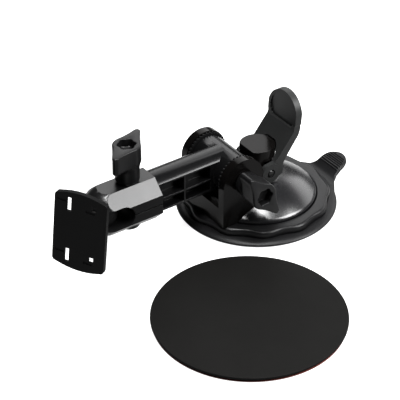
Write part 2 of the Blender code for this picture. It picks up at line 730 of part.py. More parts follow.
# ---------------------------------------------------------------- assembly


def paint(look, objects):
    """Give each object a material of its own."""
    colour, rough, metal = LOOKS[look]
    for obj in objects:
        mat = bpy.data.materials.new(obj.name)
        mat.use_nodes = True
        shader = mat.node_tree.nodes["Principled BSDF"]
        shader.inputs["Base Color"].default_value = (*colour, 1.0)
        shader.inputs["Roughness"].default_value = rough
        shader.inputs["Metallic"].default_value = metal
        mat.diffuse_color = (*colour, 1.0)
        obj.data.materials.clear()
        obj.data.materials.append(mat)


def mount_on(name, point, parent, objects):
    """Hang objects on an empty that stands on a joint's axis."""
    empty = bpy.data.objects.new(name, None)
    empty.location = Vector(point) * MM
    PARTS.objects.link(empty)
    bpy.context.view_layer.update()
    for obj in objects:
        world = obj.matrix_world.copy()
        obj.parent = empty
        obj.matrix_parent_inverse = Matrix.Translation(-Vector(point) * MM)
        obj.matrix_basis = world
    if parent is not None:
        empty.parent = parent
        empty.matrix_parent_inverse = Matrix.Translation(-parent.matrix_world.translation)
        bpy.context.view_layer.update()
    return empty


def build():
    """Make every piece and hang the moving ones on their joint axes."""
    pad = make_pad()
    dome = make_dome()
    skirt = make_skirt()
    fork = make_fork()
    tower = make_tower()
    plate_low, stem, pin, spring = make_lifting_gear()
    lever = make_lever()
    arm = make_arm()
    lower = make_jaw("lower_jaw", -14.0, -0.3)
    upper = make_jaw("upper_jaw", 0.3, 14.0)
    bolt_y = PIVOT_Y - BOLT_S
    nut_seat = rod("lower_nut_seat", 5.0, (0, bolt_y, PIVOT_Z - 15.0),
                   (0, bolt_y, PIVOT_Z - 8.6), seg=6, cutter=True)
    boss = rod("lower_boss", 5.9, (0, bolt_y, PIVOT_Z - 13.1), (0, bolt_y, PIVOT_Z - 11.5),
               seg=36, cutter=True)
    join(lower, boss)
    cut(lower, nut_seat)
    knob, bolt, washer, nut = make_clamp_group()
    p_knob, p_bolt, p_washer, p_nut, rings = make_pivot_group()
    fork_screws = make_fork_screws()
    sphere, neck, hub, plate, screws = make_plate_group()
    disc, glue, liner = make_disc()

    paint("rubber", [pad, skirt])
    paint("gloss", [dome])
    paint("satin", [fork, tower, lever, arm, lower, upper, knob, p_knob, stem])
    paint("matte", [sphere, neck, hub, plate, disc, plate_low, glue] + rings)
    paint("steel", [pin, spring, bolt, washer, nut, p_bolt, p_washer, p_nut]
          + fork_screws + screws)
    paint("liner", [liner])

    mount_on("lever_axis", (0, 0, PIN_Z), None, [lever, pin, stem, plate_low])
    arm_axis = mount_on("arm_axis", PIVOT, None, [arm, lower, nut])
    mount_on("pivot_knob_axis", PIVOT, None, [p_knob, p_bolt])
    mount_on("clamp_axis", (0, bolt_y, PIVOT_Z), arm_axis, [upper, knob, bolt, washer])
    mount_on("ball_centre", BALL, arm_axis, [sphere, neck, hub, plate] + screws)
    mount_on("disc_centre", (DISC_X, DISC_Y, 0), None, [disc, glue, liner])
    for obj in PARTS.objects:
        if obj.type == "MESH" and obj.name not in ("bracket_plate",):
            obj.data.shade_smooth()
            obj.data.set_sharp_from_angle(angle=math.radians(35))


build()
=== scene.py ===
"""Looks for a suction mount of a dash camera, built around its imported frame.

Every new piece is a numpy surface: a closed profile turned about an axis, or a
polar outline carried up a profile.  Moulded parts that were cut from solids keep
their form and get eased edges.  All lengths in the piece functions are millimetres.
"""
import math

import bmesh
import bpy
import numpy as np
from mathutils import Matrix, Vector


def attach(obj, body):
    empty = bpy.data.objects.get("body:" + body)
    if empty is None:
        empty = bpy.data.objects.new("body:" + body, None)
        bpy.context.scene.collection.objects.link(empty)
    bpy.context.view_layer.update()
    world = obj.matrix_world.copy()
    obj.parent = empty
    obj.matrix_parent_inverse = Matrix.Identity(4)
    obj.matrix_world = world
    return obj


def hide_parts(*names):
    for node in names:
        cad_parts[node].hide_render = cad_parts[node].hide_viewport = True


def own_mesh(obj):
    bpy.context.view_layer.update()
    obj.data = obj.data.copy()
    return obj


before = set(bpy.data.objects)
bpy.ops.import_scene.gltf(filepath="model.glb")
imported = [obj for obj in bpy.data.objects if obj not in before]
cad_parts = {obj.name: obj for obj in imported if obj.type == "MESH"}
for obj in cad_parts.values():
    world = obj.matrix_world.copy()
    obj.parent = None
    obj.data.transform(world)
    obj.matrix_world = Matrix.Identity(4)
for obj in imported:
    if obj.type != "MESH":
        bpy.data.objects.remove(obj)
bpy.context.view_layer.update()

MM = 0.001
TAU = 2.0 * math.pi

PIVOT = np.array([0.0, -22.2, 31.3])
BALL = np.array([0.0, -94.6, 31.3])
BOLT_Y = -79.2
PIN_Z = 23.6
PLATE_YAW, PLATE_TILT, PLATE_ROLL = 30.0, 4.7, 2.7
CLAMP_KNOB_TURN = 123.7
PIVOT_KNOB_TURN = 124.6
DISC_AT = (78.0, -62.0)

MERGE = 2e-6                       # metres: closer points are one point

RING_IN, RING_OUT = 31.4, 38.1     # the wavy grip ring
RING_LOW, RING_SHOULDER, RING_TOP = 3.3, 5.9, 6.9
RING_WAVES, RING_WAVE, RING_DRAW_IN = 12, 0.75, 0.5
TAB_FROM, TAB_ROUND, TAB_END = 33.0, 49.8, 7.7     # places along Y, and the end's length
TAB_HALF_T, TAB_RIB, TAB_RIBS = 0.93, 0.34, 7
DOME_R, DOME_TOP, DOME_WALL, DOME_BORE = 51.8, 18.5, 2.2, 5.75
DOME_OUT, DOME_LOW, DOME_STEP = 31.1, 3.35, 28.8
TOOTH_RING_R, TOOTH_RING_BORE, TOOTH, TEETH = 11.4, 3.0, 0.33, 36
WING_T, KNOB_EDGE = 9.5, 0.8       # the wing's height on a knob, and its edge's round
SOCKET_R, SOCKET_LOBE, SOCKET_DEEP = 4.75, 0.65, 4.2
WASHER_OUT, WASHER_IN, WASHER_T = 5.55, 2.75, 0.8
SHANK_R, THREAD_H = 2.1, 0.09
NUT_FLAT, NUT_CORNER, NUT_TURNED, NUT_FACE, NUT_BORE = 3.88, 4.47, 4.25, 3.75, 2.5
PIN_R, PIN_REACH = 2.0, 12.55
BALL_R, CUP_R = 8.0, 8.3           # the ball, and the hollow that seats on it
FLOOR_HALF, FLOOR_Z = 6.0, -0.0003                 # metres

SOFTBOXES = (
    # name, way from the mount, distance, size, watts, shape
    ("overhead_box", (0.15, -0.10, 0.98), 1.1, (0.55, 0.55), 44, "ELLIPSE"),
    ("back_right_box", (0.60, 0.48, 0.64), 1.3, (0.7, 0.7), 54, "RECTANGLE"),
    ("back_left_box", (-0.67, 0.48, 0.57), 1.4, (0.9, 0.9), 12, "RECTANGLE"),
    ("back_box", (-0.10, 0.90, 0.42), 1.5, (1.1, 0.6), 13, "RECTANGLE"),
    ("front_fill", (0.75, -0.62, 0.45), 1.8, (1.2, 1.2), 1.5, "RECTANGLE"),
)
LIGHT_AIM = (0.0, -0.04, 0.02)
WORLD_LIGHT, VIEW_GAMMA = 0.06, 0.8

VIEW_AT = (0.6479, -0.4935, 0.5589)
VIEW_AZIMUTH, VIEW_ELEVATION, VIEW_LENS = 54.76, 34.45, 170.64


# ------------------------------------------------------------------ meshes


def grid_piece(name, points, look, smooth_angle=40.0):
    """A closed piece from a grid of points: rows run round, columns along the profile.

    The grid wraps in its first direction; its first and last columns are closed by
    merging (when they meet on the axis or on each other) or by one flat cap.
    """
    rows, cols, _ = points.shape
    index = np.arange(rows * cols).reshape(rows, cols)
    a = index[:, :-1]
    b = np.roll(index, -1, axis=0)[:, :-1]
    c = np.roll(index, -1, axis=0)[:, 1:]
    d = index[:, 1:]
    quads = np.stack([a, b, c, d], axis=-1).reshape(-1, 4)
    mesh = bpy.data.meshes.new(name)
    mesh.from_pydata((points.reshape(-1, 3) * MM).tolist(), [], quads.tolist())
    bm = bmesh.new()
    bm.from_mesh(mesh)
    bmesh.ops.remove_doubles(bm, verts=bm.verts, dist=MERGE)
    rims = [e for e in bm.edges if e.is_boundary]
    if rims:
        bmesh.ops.holes_fill(bm, edges=rims, sides=0)
    bmesh.ops.recalc_face_normals(bm, faces=bm.faces)
    bm.to_mesh(mesh)
    bm.free()
    return finish_mesh(name, mesh, look, smooth_angle)


def finish_mesh(name, mesh, look, smooth_angle):
    """Smooth shading with creases kept, and the finish assigned."""
    mesh.shade_smooth()
    mesh.set_sharp_from_angle(angle=math.radians(smooth_angle))
    mesh.materials.clear()
    mesh.materials.append(look)
    obj = bpy.data.objects.new(name, mesh)
    bpy.context.scene.collection.objects.link(obj)
    return obj


def rounded(corners, radius, steps=4):
    """A polyline of (a, b) corners with each inner corner turned into a short curve.

    Each curve is the quadratic between a point before the corner, the corner and a
    point after it, the two points at most the radius and 45% of the side away.
    """
    corners = np.asarray(corners, float)
    size = np.full(len(corners), radius, float) if np.isscalar(radius) else np.asarray(radius)
    out = [corners[0][None]]
    for before, at, after, r in zip(corners[:-2], corners[1:-1], corners[2:], size[1:-1]):
        back, on = before - at, after - at
        p = at + back * min(r / np.linalg.norm(back), 0.45)
        q = at + on * min(r / np.linalg.norm(on), 0.45)
        t = np.linspace(0, 1, steps + 1)[:, None]
        out.append((1 - t) ** 2 * p + 2 * t * (1 - t) * at + t ** 2 * q)
    out.append(corners[-1][None])
    return np.concatenate(out)


def closed_rounded(corners, radius, steps=4):
    """The same for a closed loop of corners, returned with its first point repeated."""
    corners = np.asarray(corners, float)
    start = (corners[0] + corners[-1]) / 2
    loop = np.concatenate([start[None], corners, start[None]])
    return rounded(loop, radius, steps)


def spun(profile, count, wave=None):
    """Points of a (radius, height) profile turned about Z.

    wave, when given, is a function of the angle and the profile's place that is
    added to the radius.
    """
    profile = np.asarray(profile, float)
    angle = np.arange(count) * TAU / count
    r = np.repeat(profile[None, :, 0], count, axis=0)
    if wave is not None:
        r = r + wave(angle[:, None], np.arange(len(profile))[None, :])
    z = np.repeat(profile[None, :, 1], count, axis=0)
    return np.stack([r * np.cos(angle)[:, None], r * np.sin(angle)[:, None], z], axis=-1)


def placed(points, matrix):
    """Points moved by a 4 by 4 matrix."""
    m = np.array(matrix, float)
    return points @ m[:3, :3].T + m[:3, 3]


def turn(degrees, axis):
    return Matrix.Rotation(math.radians(degrees), 4, axis)


def shift(x, y, z):
    return Matrix.Translation((x, y, z))


def polar_radius(outline, count):
    """Radius of a star-shaped outline at evenly spaced angles, read by interpolation."""
    outline = np.asarray(outline, float)
    angle = np.mod(np.arctan2(outline[:, 1], outline[:, 0]), TAU)
    radius = np.hypot(outline[:, 0], outline[:, 1])
    order = np.argsort(angle)
    angle, radius = angle[order], radius[order]
    wrap_a = np.concatenate([angle[-3:] - TAU, angle, angle[:3] + TAU])
    wrap_r = np.concatenate([radius[-3:], radius, radius[:3]])
    return np.interp(np.arange(count) * TAU / count, wrap_a, wrap_r)


def arc_points(cx, cy, r, start, end, count):
    """Points on an arc, angles in degrees."""
    a = np.radians(np.linspace(start, end, count + 1))
    return np.stack([cx + r * np.cos(a), cy + r * np.sin(a)], axis=-1)


def eased(node, name, look, width, segments=3, angle=32.0, merge_flats=True):
    """A moulded piece with its cut form kept and its edges rolled over by a small bevel."""
    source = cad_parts[node]
    bm = bmesh.new()
    bm.from_mesh(source.data)
    bmesh.ops.remove_doubles(bm, verts=bm.verts, dist=MERGE)
    if merge_flats:
        bmesh.ops.dissolve_limit(bm, angle_limit=math.radians(1.0), verts=bm.verts,
                                 edges=bm.edges)
    mesh = bpy.data.meshes.new(name)
    bm.to_mesh(mesh)
    bm.free()
    mesh.shade_smooth()
    mesh.set_sharp_from_angle(angle=math.radians(angle))
    mesh.materials.clear()
    mesh.materials.append(look)
    obj = bpy.data.objects.new(name, mesh)
    bpy.context.scene.collection.objects.link(obj)
    bevel = obj.modifiers.new("rolled_edge", "BEVEL")
    bevel.width = width * MM
    bevel.segments = segments
    bevel.limit_method = "ANGLE"
    bevel.angle_limit = math.radians(angle)
    bevel.miter_outer = "MITER_ARC"
    bevel.harden_normals = False
    bevel.use_clamp_overlap = True
    normals = obj.modifiers.new("face_weight", "WEIGHTED_NORMAL")
    normals.keep_sharp = False
    normals.weight = 60
    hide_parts(node)
    return obj


# --------------------------------------------------------------- materials


class Value:
    """A number in a material; arithmetic on it adds Math nodes."""

    def __init__(self, board, socket):
        self.board = board
        self.socket = socket

    def math(self, operation, *others):
        node = self.board.tree.nodes.new("ShaderNodeMath")
        node.operation = operation
        for slot, item in zip(node.inputs, (self,) + others):
            self.board.feed(slot, item)
        return Value(self.board, node.outputs[0])

    def __add__(self, other):
        return self.math("ADD", other)

    def __radd__(self, other):
        return self.math("ADD", other)

    def __mul__(self, other):
        return self.math("MULTIPLY", other)

    def __rmul__(self, other):
        return self.math("MULTIPLY", other)

    def __pow__(self, other):
        return self.math("POWER", other)


class Board:
    """One material's nodes."""

    def __init__(self, name):
        self.material = bpy.data.materials.new(name)
        self.material.use_nodes = True
        self.tree = self.material.node_tree
        self.shader = self.tree.nodes["Principled BSDF"]
        coords = self.tree.nodes.new("ShaderNodeTexCoord")
        self.place = Value(self, coords.outputs["Object"])

    def feed(self, socket, item):
        """Link a value to a socket, or set a constant on it."""
        if isinstance(item, Value):
            self.tree.links.new(item.socket, socket)
        elif isinstance(item, (tuple, list)) and socket.type == "RGBA" and len(item) == 3:
            socket.default_value = (*item, 1.0)
        else:
            socket.default_value = item

    def node(self, kind, settings, inputs, output=0):
        """Any node: its settings first, then the values or links of its sockets."""
        made = self.tree.nodes.new(kind)
        for key, value in settings.items():
            setattr(made, key, value)
        for key, value in inputs.items():
            self.feed(made.inputs[key], value)
        return Value(self, made.outputs[output])

    def noise(self, size, detail=3.0, rough=0.55, stretch=None):
        """Noise whose grains are about size millimetres."""
        where = self.place
        if stretch is not None:
            where = self.node("ShaderNodeMapping", {}, {"Vector": where, "Scale": stretch})
        return self.node("ShaderNodeTexNoise", {}, {
            "Vector": where, "Scale": 1.0 / (size * MM), "Detail": detail,
            "Roughness": rough}, "Fac")

    def cells(self, size):
        """Small rounded cells about size millimetres across."""
        return self.node("ShaderNodeTexVoronoi", {"feature": "SMOOTH_F1"}, {
            "Vector": self.place, "Scale": 1.0 / (size * MM)}, "Distance")

    def between(self, factor, low, high):
        """A colour between two colours."""
        mix = self.tree.nodes.new("ShaderNodeMix")
        mix.data_type = "RGBA"
        self.feed(mix.inputs[0], factor)
        self.feed(mix.inputs[6], low)
        self.feed(mix.inputs[7], high)
        return Value(self, mix.outputs[2])

    def bump(self, height, strength, depth):
        """A surface relief of depth millimetres."""
        return self.node("ShaderNodeBump", {}, {
            "Height": height, "Strength": strength, "Distance": depth * MM}, "Normal")

    def set(self, **sockets):
        """Set or link the shader's sockets, named with underscores for spaces."""
        for key, item in sockets.items():
            self.feed(self.shader.inputs[key.replace("_", " ")], item)
        return self.material


def moulded(name, colour, rough, grain=0.35, depth=0.012, spread=0.06, spec=0.5):
    """Injection-moulded plastic: spark-eroded grain, faint flow tone, uneven gloss."""
    b = Board(name)
    flow = b.noise(14.0, 3.0)
    fine = b.noise(grain, 2.0, 0.6)
    pits = b.cells(grain * 1.6)
    tone = flow * 0.7 + fine * 0.3
    low = tuple(c * 0.82 for c in colour)
    high = tuple(min(c * 1.2, 1.0) for c in colour)
    handled = b.noise(6.0, 4.0, 0.65)
    relief = fine * 0.6 + pits * 0.4
    return b.set(Base_Color=b.between(tone, low, high),
                 Roughness=rough - spread * 0.5 + handled * spread + fine * 0.03,
                 Specular_IOR_Level=spec,
                 Normal=b.bump(relief, 0.55, depth))


def polished(name, colour, rough):
    """Polished shell: mirror gloss with faint handling haze and slow waviness."""
    b = Board(name)
    haze = b.noise(9.0, 5.0, 0.7)
    wave = b.noise(24.0, 1.0, 0.4)
    dust = b.noise(0.5, 2.0, 0.5) ** 6.0
    return b.set(Base_Color=b.between(dust, colour, (0.05, 0.05, 0.05)),
                 Roughness=rough + haze * 0.05 + dust * 0.15,
                 Specular_IOR_Level=0.4,
                 Normal=b.bump(wave, 0.3, 0.05))


def soft_rubber(name, colour, rough):
    """Soft rubber: matte skin with a bloom of paler tone and a pebbled touch."""
    b = Board(name)
    bloom = b.noise(10.0, 4.0, 0.6)
    skin = b.noise(0.5, 3.0, 0.6)
    low = tuple(c * 0.8 for c in colour)
    high = tuple(min(c * 1.35, 1.0) for c in colour)
    return b.set(Base_Color=b.between(bloom * 0.8 + skin * 0.2, low, high),
                 Roughness=rough - 0.05 + bloom * 0.12,
                 Specular_IOR_Level=0.14,
                 Normal=b.bump(skin, 0.4, 0.015))


def plated(name, low, high):
    """Plated steel: fine turning marks and a cloudy tone."""
    b = Board(name)
    cloud = b.noise(3.0, 4.0, 0.6)
    marks = b.noise(0.25, 2.0, 0.5, stretch=(1.0, 1.0, 6.0))
    return b.set(Base_Color=b.between(cloud, low, high),
                 Metallic=1.0, Roughness=0.24 + cloud * 0.12 + marks * 0.06,
                 Normal=b.bump(marks, 0.3, 0.01))


LOOK = {
    "dome": polished("polished_black_shell", (0.004, 0.004, 0.0045), 0.23),
    "shell": moulded("gloss_black_shell", (0.0024, 0.0021, 0.002), 0.16, depth=0.004,
                     spec=0.09),
    "frame": moulded("semi_gloss_black", (0.003, 0.003, 0.0032), 0.22, depth=0.006,
                     spec=0.17),
    "grip": moulded("satin_grey_grip", (0.005, 0.005, 0.0053), 0.32, grain=0.4, spec=0.15),
    "lever": moulded("satin_grey_lever", (0.012, 0.0123, 0.0123), 0.42, grain=0.3, spec=0.17),
    "clamp": moulded("grained_black_clamp", (0.0045, 0.0045, 0.0047), 0.32, grain=0.3,
                     spec=0.27),
    "knob": moulded("satin_black_knob", (0.004, 0.004, 0.0042), 0.34, grain=0.3, spec=0.15),
    "plate": moulded("matte_black_plate", (0.003, 0.003, 0.0031), 0.5, grain=0.35,
                     spec=0.06),
    "inner": moulded("dull_black_core", (0.004, 0.004, 0.0042), 0.5, spec=0.12),
    "disc": moulded("grained_black_disc", (0.0044, 0.0043, 0.0041), 0.6, grain=0.5,
                    depth=0.02, spec=0.05),
    "pad": soft_rubber("soft_cup_rubber", (0.0042, 0.0042, 0.0045), 0.4),
    "foam": soft_rubber("acrylic_foam", (0.02, 0.012, 0.011), 0.7),
    "liner": moulded("waxed_red_liner", (0.09, 0.022, 0.016), 0.45, grain=0.8, depth=0.01,
                     spec=0.2),
    "dark_steel": plated("blackened_steel", (0.02, 0.02, 0.02), (0.05, 0.05, 0.05)),
    "steel": plated("zinc_plated_steel", (0.3, 0.3, 0.31), (0.45, 0.45, 0.44)),
}


# ---------------------------------------------------------------- the base


def suction_pad():
    """The cup: a profile with a thin soft lip, turned about Z."""
    shape = rounded([(0, 2.95), (30, 2.95), (37.6, 2.9), (40.4, 2.3), (41.98, 1.15),
                     (41.7, 0.35), (40.6, 0.0), (0, 0.0)],
                    [0, 3, 1.6, 1.4, 0.6, 0.5, 0.5, 0])
    piece = grid_piece("suction_cup", spun(shape, 256), LOOK["pad"], 60)
    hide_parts("suction_pad")
    return piece, "base", "pad_rubber"


def grip_ring():
    """The wavy ring: its outer radius gains RING_WAVE cos(RING_WAVES angle)."""
    shape = closed_rounded([(RING_IN, RING_LOW), (RING_IN, RING_TOP - 0.2),
                            (RING_IN + 0.6, RING_TOP), (RING_OUT - 1.2, RING_TOP),
                            (RING_OUT, RING_SHOULDER), (RING_OUT, RING_LOW)], 0.6, 4)

    def wave(angle, place):
        share = (shape[:, 0][None, :] - RING_IN) / (RING_OUT - RING_IN)
        share = np.clip(share, 0, 1) ** 1.6
        return share * (RING_WAVE * np.cos(RING_WAVES * angle) - RING_DRAW_IN)

    piece = grid_piece("grip_ring", spun(shape, 720, wave), LOOK["grip"], 50)
    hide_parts("grip_skirt")
    return piece, "base", "grip_rubber"


def pull_tab():
    """The peel tab: a slab swept along a rising line, its end a half circle.

    At each place the half-width follows the flare out of the lip, then the half circle
    of its end; the section is a superellipse; seven fine cross ribs, a squared
    sine of the length, ride on the upper side.
    """
    y = np.concatenate([np.linspace(TAB_FROM, TAB_ROUND, 120), TAB_ROUND + TAB_END * np.sin(
        np.linspace(0, 1, 60)[1:] * math.pi / 2)])
    at = [TAB_FROM, 41.5, 44.0, 46.0, 50.0, 54.0, 57.8]
    z = np.interp(y, at, [0.98, 0.98, 1.35, 2.35, 4.9, 6.35, 7.0])
    for _ in range(60):
        z[1:-1] = (z[:-2] + 2 * z[1:-1] + z[2:]) / 4
    dy, dz = np.gradient(y), np.gradient(z)
    size = np.hypot(dy, dz)
    ny, nz = -dz / size, dy / size
    flare = np.interp(y, [TAB_FROM, 36.8, 40.9, 43.6, 46.4, TAB_ROUND],
                      [21.5, 19.3, 14.0, 10.4, 8.5, 8.0])
    past = np.clip((y - TAB_ROUND) / TAB_END, 0, 1)
    half_w = flare * np.sqrt(np.maximum(1 - past ** 2, 0)) + 0.02
    edge = np.clip(half_w / 2.0, 0, 1)
    half_t = TAB_HALF_T * np.sqrt(np.maximum(1 - (1 - edge) ** 2, 0.0)) + 0.01
    run = np.clip((y - 48.0) / 7.4, 0, 1)
    ribs = TAB_RIB * np.where((run > 0) & (run < 1),
                              np.sin(run * math.pi * TAB_RIBS) ** 2, 0)
    count = 96
    a = np.arange(count) * TAU / count
    ca, sa = np.cos(a)[:, None], np.sin(a)[:, None]
    px = np.sign(ca) * np.abs(ca) ** 0.4 * half_w[None]
    rise = np.sign(sa) * np.abs(sa) ** 0.5
    rib_share = np.clip((half_w[None] - 0.9 - np.abs(px)) / 0.5, 0, 1) * (sa > 0.2)
    pt = rise * half_t[None] + rib_share * (ribs[None] - 0.08)
    points = np.stack([px, y[None] + pt * ny[None], z[None] + pt * nz[None]], axis=-1)
    piece = grid_piece("pull_tab", points, LOOK["pad"], 50)
    return piece, "base", "pad_rubber"


def dome():
    """The cap: a thin cap of a sphere of radius DOME_R over a short rim, open below."""
    def cap(r, drop):
        return DOME_TOP - (DOME_R - np.sqrt(DOME_R ** 2 - r ** 2)) - drop

    r_out = np.linspace(11.2, 30.4, 26)
    r_in = np.linspace(28.6, 8.0, 10)
    top = cap(11.0, 0.0)
    outer = np.stack([r_out, cap(r_out, 0.0)], axis=-1)
    inner = np.stack([r_in, cap(r_in, DOME_WALL)], axis=-1)
    rim = rounded([outer[-1], (DOME_OUT, 7.6), (DOME_OUT, DOME_LOW),
                   (DOME_STEP, DOME_LOW), inner[0]], 0.5)
    shape = np.concatenate([[(DOME_BORE, top)], outer[:-1], rim, inner[1:],
                            [(DOME_BORE, top - DOME_WALL), (DOME_BORE, top)]])
    piece = grid_piece("glossy_dome", spun(shape, 256), LOOK["dome"], 40)
    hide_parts("base_dome")
    return piece, "base", "gloss_shell"


def friction_ring(name, x0, x1):
    """A face ring whose rim carries fine teeth: TOOTH tanh(3 cos(TEETH angle))."""
    shape = np.array([(TOOTH_RING_R, x1), (TOOTH_RING_R, x0), (TOOTH_RING_BORE, x0),
                      (TOOTH_RING_BORE, x1), (TOOTH_RING_R, x1)], float)

    def teeth(angle, place):
        rim = np.isin(place, (0, 1, 4))
        return rim * TOOTH * np.tanh(3.0 * np.cos(TEETH * angle))

    turned = placed(spun(shape, 432, teeth), shift(0, PIVOT[1], PIVOT[2]) @ turn(90, "Y"))
    piece = grid_piece(name.replace("friction", "toothed"), turned, LOOK["inner"], 30)
    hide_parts(name)
    return piece, "base", "matte_body"


# ---------------------------------------------------------- knobs and bolts


WING_TIP_R, WING_SPAN, WING_CORE, NECK_R = 1.7, 15.2, 7.2, 6.2


def wing_radius(count):
    """Polar radius of the wing: a long diamond with round tips and hollow flanks."""
    parts = []
    for flip in (1, -1):
        tip = arc_points(WING_SPAN - WING_TIP_R, 0, WING_TIP_R, -75, 75, 14)
        core = arc_points(0, 0, WING_CORE, 58, 122, 14)
        t = np.linspace(0.08, 0.92, 9)[:, None]
        a, b = tip[-1], core[0]
        bend = (a + b) / 2 - np.array([0.25, 0.75])
        flank = (1 - t) ** 2 * a + 2 * t * (1 - t) * bend + t ** 2 * b
        other = flank[::-1] * np.array([-1, 1])
        parts.append(np.concatenate([tip, flank, core, other]) * flip)
    r = polar_radius(np.concatenate(parts), count)
    for _ in range(2):
        r = (np.roll(r, 1) + r + np.roll(r, -1)) / 3
    return r


def star_radius(count, size, depth):
    """Polar radius of a six-lobed socket."""
    a = np.arange(count) * TAU / count
    return size - depth * (0.5 - 0.5 * np.cos(6 * a))


def wing_knob(name, node, height, place, body):
    """A wing knob: each level blends a round neck, the wing outline or the socket star.

    The radius at a level is (1 - w) times the neck's circle plus w times the wing's
    polar radius, drawn in by the edge rounding; the top turns in to the socket.
    """
    count = 360
    wing = wing_radius(count)
    star = star_radius(count, SOCKET_R, SOCKET_LOBE)
    low = height - WING_T
    rows = [(0.0, np.zeros(count)), (0.0, np.full(count, NECK_R - 0.4)),
            (0.15, np.full(count, NECK_R - 0.1)), (0.45, np.full(count, NECK_R))]
    for s in np.linspace(0, 1, 12):
        ease = s * s * (3 - 2 * s)
        z = (low - 4.6) + 5.4 * s
        rows.append((z, NECK_R * (1 - ease) + (wing - 0.5 * (1 - s)) * ease ** 1.5
                     + NECK_R * (ease - ease ** 1.5)))
    for s in np.linspace(0.1, 1, 5):
        rows.append((low + KNOB_EDGE + (height - 2 * KNOB_EDGE - low) * s, wing - 0.15 * s))
    for s in np.linspace(0.2, 1, 5) * math.pi / 2:
        rows.append((height - KNOB_EDGE + KNOB_EDGE * math.sin(s),
                     wing - 0.15 - KNOB_EDGE * (1 - math.cos(s))))
    rows.append((height, star * 0.5 + (wing - 1.0) * 0.5))
    for s in np.linspace(0, 1, 4) * math.pi / 2:
        rows.append((height - 0.35 * (1 - math.cos(s)), star + 0.35 * (1 - math.sin(s))))
    rows.append((height - SOCKET_DEEP + 0.2, star - 0.2))
    rows.append((height - SOCKET_DEEP, star - 0.5))
    rows.append((height - SOCKET_DEEP, np.zeros(count)))
    a = np.arange(count) * TAU / count
    points = np.stack([np.stack([r * np.cos(a), r * np.sin(a), np.full(count, z)], axis=-1)
                       for z, r in rows], axis=1)
    piece = grid_piece(name, placed(points, place), LOOK["knob"], 50)
    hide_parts(node)
    return piece, body, "knob_body"


def washer(name, node, place, body):
    """A flat ring with eased edges."""
    shape = closed_rounded([(WASHER_OUT, 0.0), (WASHER_OUT, WASHER_T),
                            (WASHER_IN, WASHER_T), (WASHER_IN, 0.0)], 0.2, 3)
    piece = grid_piece(name, placed(spun(shape, 96), place), LOOK["dark_steel"], 50)
    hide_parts(node)
    return piece, body, "steel"


def bolt(name, node, length, place, body):
    """A bolt's shank: thread crests are fine rings along it, with chamfered ends."""
    z = np.linspace(0.6, length - 0.6, int(length * 6))
    crest = SHANK_R + THREAD_H * np.cos(z * TAU)
    shape = np.concatenate([[(0, 0), (1.7, 0)], np.stack([crest, z], axis=-1),
                            [(1.7, length), (0, length)]])
    piece = grid_piece(name, placed(spun(shape, 48), place), LOOK["dark_steel"], 60)
    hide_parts(node)
    return piece, body, "steel"


def hex_nut(name, node, height, place, body):
    """A hexagon nut: the polar radius of a hexagon, its corners turned off at both ends."""
    count = 192
    a = np.arange(count) * TAU / count
    flat = NUT_FLAT / np.cos(np.mod(a + TAU / 12, TAU / 6) - TAU / 12)
    bore, face = np.full(count, NUT_BORE), np.full(count, NUT_FACE)
    turned, corner = np.minimum(flat, NUT_TURNED), np.minimum(flat, NUT_CORNER)
    rows = [(0.0, bore), (0.0, face), (0.35, turned), (0.5, corner),
            (height - 0.5, corner), (height - 0.35, turned), (height, face),
            (height, bore), (0.0, bore)]
    points = np.stack([np.stack([r * np.cos(a), r * np.sin(a), np.full(count, z)], axis=-1)
                       for z, r in rows], axis=1)
    piece = grid_piece(name, placed(points, place), LOOK["dark_steel"], 30)
    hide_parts(node)
    return piece, body, "steel"


def lever_pin():
    """The lever's pin with domed ends."""
    end, edge = PIN_REACH - 0.05, PIN_REACH - 0.55
    shape = rounded([(0, -PIN_REACH), (PIN_R - 0.5, -end), (PIN_R, -edge),
                     (PIN_R, edge), (PIN_R - 0.5, end), (0, PIN_REACH)], 0.3)
    place = shift(0, 0, PIN_Z) @ turn(90, "Y")
    piece = grid_piece("lever_pivot_pin", placed(spun(shape, 64), place), LOOK["dark_steel"],
                       50)
    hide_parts("lever_pin")
    return piece, "stem", "steel"


# --------------------------------------------------------------- ball end


PLATE_PLACE = (shift(*BALL) @ turn(PLATE_YAW, "Z") @ turn(-PLATE_TILT, "X")
               @ turn(PLATE_ROLL, "Y"))
OUTWARD = PLATE_PLACE @ turn(90, "X")


def ball_piece():
    """The ball: a half circle turned."""
    a = np.linspace(-math.pi / 2, math.pi / 2, 65)
    shape = np.stack([BALL_R * np.cos(a), BALL_R * np.sin(a)], axis=-1)
    shape[0, 0] = shape[-1, 0] = 0.0
    piece = grid_piece("clamp_ball", placed(spun(shape, 128), shift(*BALL)), LOOK["inner"], 60)
    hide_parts("pivot_ball")
    return piece, "ball", "matte_body"


def neck():
    """The neck: a waisted stem whose inner end is a hollow of the ball's radius."""
    cup = arc_points(0, 0, CUP_R, 0, 27.0, 8)[:, ::-1]
    shape = np.concatenate([cup, rounded([(3.8, 7.5), (3.45, 10.0), (3.45, 14.5),
                                          (3.8, 17.0), (0, 17.2)], 0.5)])
    shape[0, 0] = 0.0
    piece = grid_piece("ball_stem", placed(spun(shape, 96), OUTWARD), LOOK["inner"], 40)
    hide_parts("ball_neck")
    return piece, "neck", "matte_body"


# ------------------------------------------------------------------- disc


def disc_layer(name, node, low, high, radius, look, slot, edge):
    """A thin round layer with an eased rim."""
    shape = rounded([(0, high), (radius * 0.5, high), (radius, high), (radius, low),
                     (0, low)], edge)
    piece = grid_piece(name, placed(spun(shape, 320), shift(*DISC_AT, 0)), LOOK[look], 60)
    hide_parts(node)
    return piece, "disc", slot


# --------------------------------------------------------------- assembly


